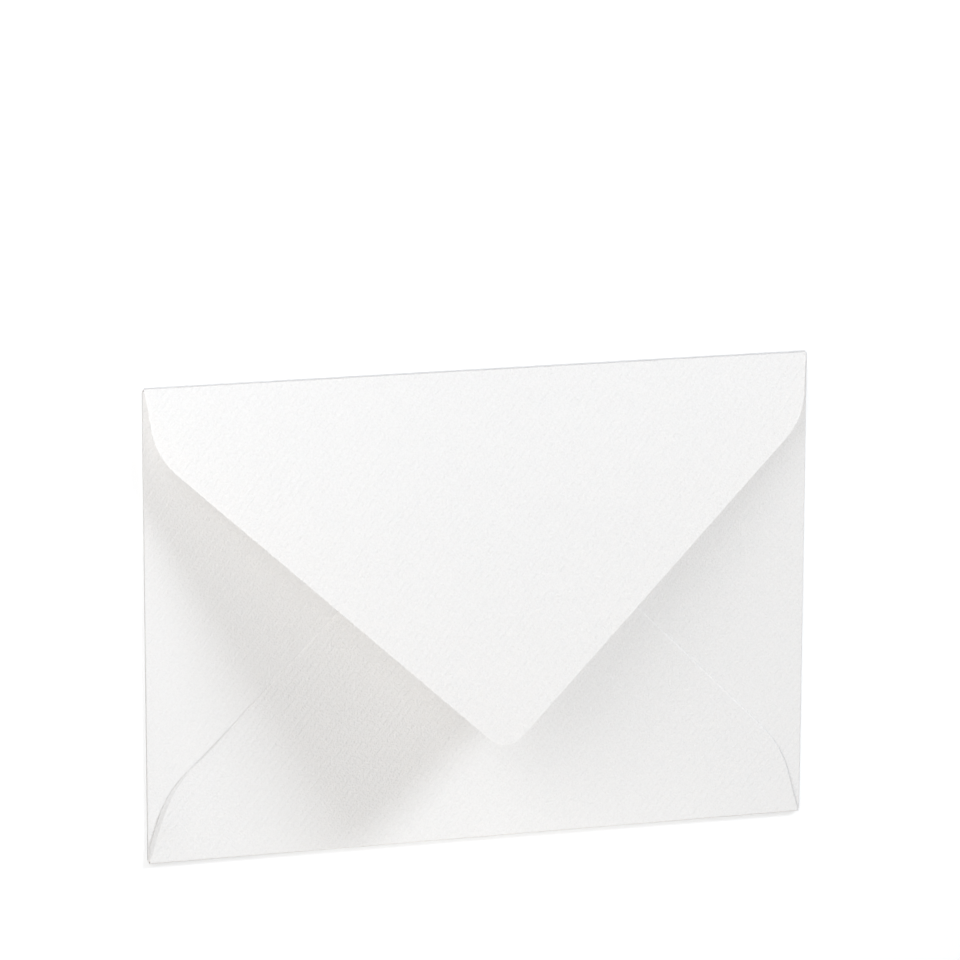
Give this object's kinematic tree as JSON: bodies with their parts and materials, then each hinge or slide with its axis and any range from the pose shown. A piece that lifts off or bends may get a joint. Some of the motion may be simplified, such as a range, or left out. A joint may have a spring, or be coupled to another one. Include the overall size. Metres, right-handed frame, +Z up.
{
  "type": "paper envelope",
  "caption": "White paper envelope with a flat glued pocket and a long pointed seal flap that stands half open over it, for posting a letter or card.",
  "frame": {"origin": "centre of the body's outline, on the surface that the front panel lies on", "axes": "+X along the width, +Y towards the fold of the seal flap, +Z up, out of the flap side"},
  "size_m": [0.162, 0.114, 0.0232],
  "materials": {
    "paper": "matt white, with a fine diagonal rib"
  },
  "bodies": {
    "root": {"envelope": "paper"}
  },
  "joints": []
}
